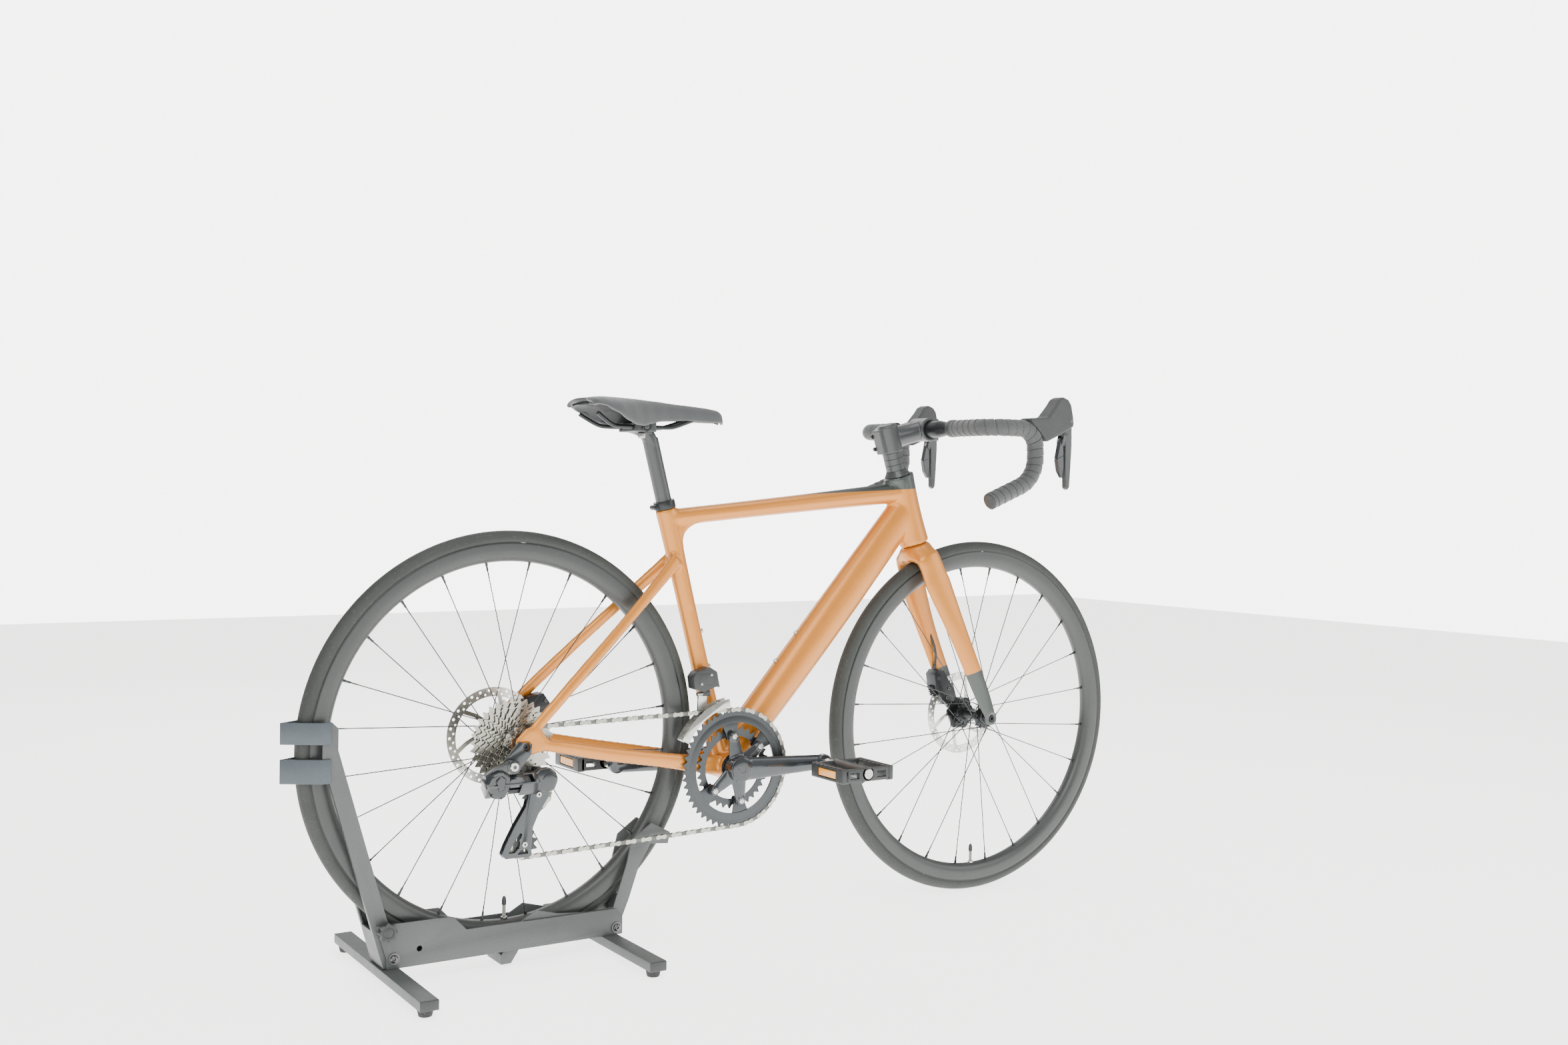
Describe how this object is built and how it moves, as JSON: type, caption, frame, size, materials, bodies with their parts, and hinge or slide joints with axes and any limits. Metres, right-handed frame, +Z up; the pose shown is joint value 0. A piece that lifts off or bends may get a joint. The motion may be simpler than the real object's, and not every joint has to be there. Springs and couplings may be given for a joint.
{
  "type": "bicycle on stand",
  "caption": "Drop-bar road bicycle with disc brakes and an electronic drivetrain, held upright by its rear wheel in a folding steel floor stand.",
  "frame": {"origin": "on the ground, midway between the stand's hooks and the front of the front tyre, in the bicycle's middle plane", "axes": "+X forwards along the bicycle, +Y to the rider's left, +Z up"},
  "size_m": [1.676, 0.4372, 0.9518],
  "materials": {
    "frame_paint": "satin copper metallic paint over carbon",
    "fork_paint": "satin copper paint fading to dark tips",
    "stand_paint": "fine textured dark grey powder coat",
    "tyre": "matt black, finely ribbed shoulders",
    "carbon": "satin black carbon",
    "black_alloy": "black anodised",
    "grey_alloy": "dark grey gloss anodised",
    "steel": "bright brushed steel",
    "black_plastic": "moulded black",
    "tape": "wound grip tape",
    "rubber": "matt moulded rubber",
    "spoke_steel": "black coated",
    "bolt_steel": "dark zinc",
    "saddle_cover": "matt black cover"
  },
  "bodies": {
    "stand": {"stand_rails": "stand_paint", "stand_crossbars": "stand_paint", "stand_end_caps": "black_plastic", "stand_feet": "rubber", "stand_bolts": "bolt_steel", "rear_arm": "stand_paint", "arm_hooks": "stand_paint"},
    "knob": {"lock_knob": "black_plastic"},
    "rocker": {"front_rocker": "stand_paint"},
    "bike": {"frame": "frame_paint", "seat_collar": "black_alloy", "bottle_bolts": "steel", "frame_bearings": "black_alloy", "rear_axle": "black_alloy", "chain": "steel", "mech_mount": "black_alloy", "front_mech_body": "black_plastic", "rear_caliper": "black_alloy"},
    "front_mech": {"front_mech_cage": "steel"},
    "rear_wheel": {"rear_tyre": "tyre", "rear_rim": "carbon", "rear_spokes": "spoke_steel", "rear_hub": "black_alloy", "rear_rotor": "steel"},
    "cassette": {"cassette": "steel"},
    "crank": {"right_crank": "grey_alloy", "left_crank": "grey_alloy", "chainrings": "grey_alloy", "right_pedal_axle": "steel", "left_pedal_axle": "steel"},
    "right_pedal": {"right_pedal": "black_plastic"},
    "left_pedal": {"left_pedal": "black_plastic"},
    "outer_link": {"mech_outer_link": "black_plastic"},
    "inner_link": {"mech_inner_link": "black_alloy"},
    "knuckle": {"mech_knuckle": "black_plastic"},
    "cage": {"mech_cage": "black_alloy"},
    "guide_pulley": {"guide_pulley": "black_plastic"},
    "tension_pulley": {"tension_pulley": "black_plastic"},
    "fork": {"fork": "fork_paint", "front_axle": "black_alloy", "headset_cover": "black_plastic", "stem": "black_alloy", "stem_bolts": "bolt_steel", "handlebar": "black_alloy", "bar_tape": "tape", "lever_hoods": "rubber", "front_caliper": "black_alloy", "front_brake_hose": "rubber"},
    "front_wheel": {"front_tyre": "tyre", "front_rim": "carbon", "front_spokes": "spoke_steel", "front_hub": "black_alloy", "front_rotor": "steel"},
    "right_lever": {"right_brake_lever": "carbon"},
    "left_lever": {"left_brake_lever": "carbon"},
    "right_paddle": {"right_shift_paddle": "black_plastic"},
    "left_paddle": {"left_shift_paddle": "black_plastic"},
    "seatpost": {"seatpost": "carbon"},
    "saddle": {"saddle": "saddle_cover", "saddle_rails": "black_alloy"}
  },
  "joints": [
    {"name": "bike_lift", "type": "slide", "parent": "stand", "child": "bike", "axis": [0, 0, 1], "range_m": [0, 0.4]},
    {"name": "rocker_tilt", "type": "hinge", "parent": "stand", "child": "rocker", "pos_m": [-0.29, 0, 0.039], "axis": [0, 1, 0], "range_deg": [0, 12]},
    {"name": "knob_turn", "type": "hinge", "parent": "stand", "child": "knob", "pos_m": [-0.684, -0.047, 0.088], "axis": [0, 1, 0], "continuous": true},
    {"name": "steering", "type": "hinge", "parent": "bike", "child": "fork", "pos_m": [0.32588, 0, 0.73843], "axis": [-0.3007, 0, 0.9537], "range_deg": [-60, 60]},
    {"name": "front_wheel_spin", "type": "hinge", "parent": "fork", "child": "front_wheel", "pos_m": [0.499, 0, 0.339], "axis": [0, 1, 0], "continuous": true},
    {"name": "rear_wheel_spin", "type": "hinge", "parent": "bike", "child": "rear_wheel", "pos_m": [-0.477, 0, 0.361], "axis": [0, 1, 0], "continuous": true},
    {"name": "crank_spin", "type": "hinge", "parent": "bike", "child": "crank", "pos_m": [-0.072, 0, 0.29], "axis": [0, 1, 0], "continuous": true},
    {"name": "right_pedal_spin", "type": "hinge", "parent": "crank", "child": "right_pedal", "pos_m": [0.098, -0.15, 0.29], "axis": [0, 1, 0], "continuous": true},
    {"name": "left_pedal_spin", "type": "hinge", "parent": "crank", "child": "left_pedal", "pos_m": [-0.242, 0.15, 0.29], "axis": [0, 1, 0], "continuous": true},
    {"name": "cassette_spin", "type": "hinge", "parent": "bike", "child": "cassette", "pos_m": [-0.477, -0.04, 0.361], "axis": [0, 1, 0], "continuous": true},
    {"name": "mech_shift", "type": "hinge", "parent": "bike", "child": "outer_link", "pos_m": [-0.535, -0.09601, 0.31102], "axis": [0, 0.788, 0.6157], "range_deg": [0, 35], "deforming": ["chain"]},
    {"name": "inner_link_swing", "type": "hinge", "parent": "bike", "child": "inner_link", "pos_m": [-0.535, -0.08739, 0.29998], "axis": [0, 0.788, 0.6157], "range_deg": [0, 35]},
    {"name": "knuckle_swing", "type": "hinge", "parent": "outer_link", "child": "knuckle", "pos_m": [-0.483, -0.09601, 0.31102], "axis": [0, 0.788, 0.6157], "range_deg": [-35, 0]},
    {"name": "cage_swing", "type": "hinge", "parent": "knuckle", "child": "cage", "pos_m": [-0.443, -0.07, 0.308], "axis": [0, 1, 0], "range_deg": [-20, 15], "stiffness_Nm_per_rad": 1.2, "deforming": ["chain"]},
    {"name": "guide_pulley_spin", "type": "hinge", "parent": "cage", "child": "guide_pulley", "pos_m": [-0.447, -0.0565, 0.281], "axis": [0, 1, 0], "continuous": true},
    {"name": "tension_pulley_spin", "type": "hinge", "parent": "cage", "child": "tension_pulley", "pos_m": [-0.4702, -0.0565, 0.2034], "axis": [0, 1, 0], "continuous": true},
    {"name": "front_mech_swing", "type": "hinge", "parent": "bike", "child": "front_mech", "pos_m": [-0.13365, -0.0347, 0.42019], "axis": [1, 0, 0], "range_deg": [0, 8], "deforming": ["chain"]},
    {"name": "right_brake", "type": "hinge", "parent": "fork", "child": "right_lever", "pos_m": [0.5417, -0.2, 0.90748], "axis": [0, 1, 0], "range_deg": [0, 15], "stiffness_Nm_per_rad": 2},
    {"name": "left_brake", "type": "hinge", "parent": "fork", "child": "left_lever", "pos_m": [0.5417, 0.2, 0.90748], "axis": [0, 1, 0], "range_deg": [0, 15], "stiffness_Nm_per_rad": 2},
    {"name": "right_shift_press", "type": "hinge", "parent": "right_lever", "child": "right_paddle", "pos_m": [0.5367, -0.2, 0.88348], "axis": [0, -1, 0], "range_deg": [0, 1.8], "stiffness_Nm_per_rad": 1},
    {"name": "left_shift_press", "type": "hinge", "parent": "left_lever", "child": "left_paddle", "pos_m": [0.5367, 0.2, 0.88348], "axis": [0, -1, 0], "range_deg": [0, 1.8], "stiffness_Nm_per_rad": 1},
    {"name": "seatpost_height", "type": "slide", "parent": "bike", "child": "seatpost", "axis": [-0.2554, 0, 0.9668], "range_m": [-0.05, 0.04]},
    {"name": "saddle_slide", "type": "slide", "parent": "seatpost", "child": "saddle", "axis": [1, 0, 0], "range_m": [-0.015, 0.015]}
  ],
  "couplings": [
    {"joint": "rocker_tilt", "follows": "bike_lift", "rad_per_m": 0.52307},
    {"joint": "cassette_spin", "follows": "crank_spin", "ratio": 3.8462},
    {"joint": "guide_pulley_spin", "follows": "crank_spin", "ratio": -4.5455},
    {"joint": "tension_pulley_spin", "follows": "crank_spin", "ratio": 4.5455},
    {"joint": "inner_link_swing", "follows": "mech_shift", "ratio": 1},
    {"joint": "knuckle_swing", "follows": "mech_shift", "ratio": -1}
  ]
}
